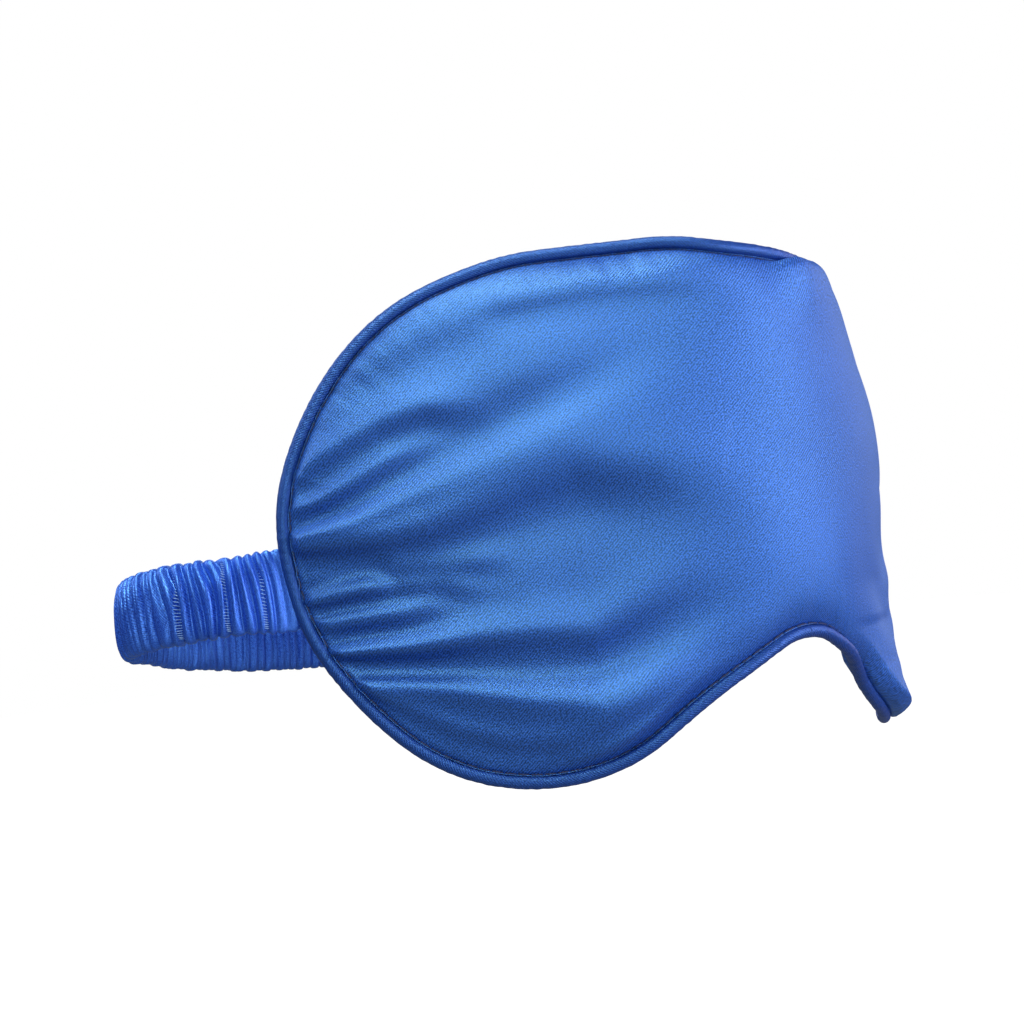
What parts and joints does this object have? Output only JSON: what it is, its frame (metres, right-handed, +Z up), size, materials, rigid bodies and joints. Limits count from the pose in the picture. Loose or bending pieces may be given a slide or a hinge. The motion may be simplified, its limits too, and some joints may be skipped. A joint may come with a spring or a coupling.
{
  "type": "sleep eye mask",
  "caption": "Padded satin eye mask with a corded piped edge, a nose notch and a gathered elastic strap that loops round the head and blocks light.",
  "frame": {"origin": "middle of the lining's face, where it meets the bridge of the nose, at half the height of the mask", "axes": "+Z up the face, -Y out of the front of the mask, +Y towards the back of the head along the strap, X across the face"},
  "size_m": [0.1962, 0.1696, 0.1085],
  "materials": {
    "front_satin": "glossy warp-faced satin",
    "lining_satin": "glossy warp-faced satin",
    "piping_satin": "bias-cut satin over cord",
    "strap_satin": "gathered satin",
    "wadding": "soft polyester wadding",
    "blackout_fabric": "matt black close-woven cloth",
    "cotton_cord": "twisted cotton",
    "elastic": "braided elastic",
    "thread": "polyester sewing thread"
  },
  "bodies": {
    "mask": {"front_cover": "front_satin", "front_wadding": "wadding", "blackout_layer": "blackout_fabric", "back_wadding": "wadding", "lining": "lining_satin", "piping_cover": "piping_satin", "piping_cord": "cotton_cord", "edge_stitches": "thread"},
    "strap_ends": {"strap_end_stitches": "thread"},
    "strap": {"strap_sleeve": "strap_satin", "elastic_band": "elastic", "sleeve_stitches": "thread"}
  },
  "joints": [
    {"name": "strap_swing", "type": "hinge", "parent": "mask", "child": "strap_ends", "pos_m": [0, 0.0565, -0.0092], "axis": [1, 0, 0], "range_deg": [-60, 60], "stiffness_Nm_per_rad": 0.06, "springref_deg": 2.86, "deforming": ["strap_end_stitches"]},
    {"name": "strap_stretch", "type": "slide", "parent": "strap_ends", "child": "strap", "axis": [0, 1, 0], "range_m": [0, 0.08], "stiffness_N_per_m": 25, "deforming": ["strap_sleeve", "elastic_band", "sleeve_stitches"]}
  ]
}
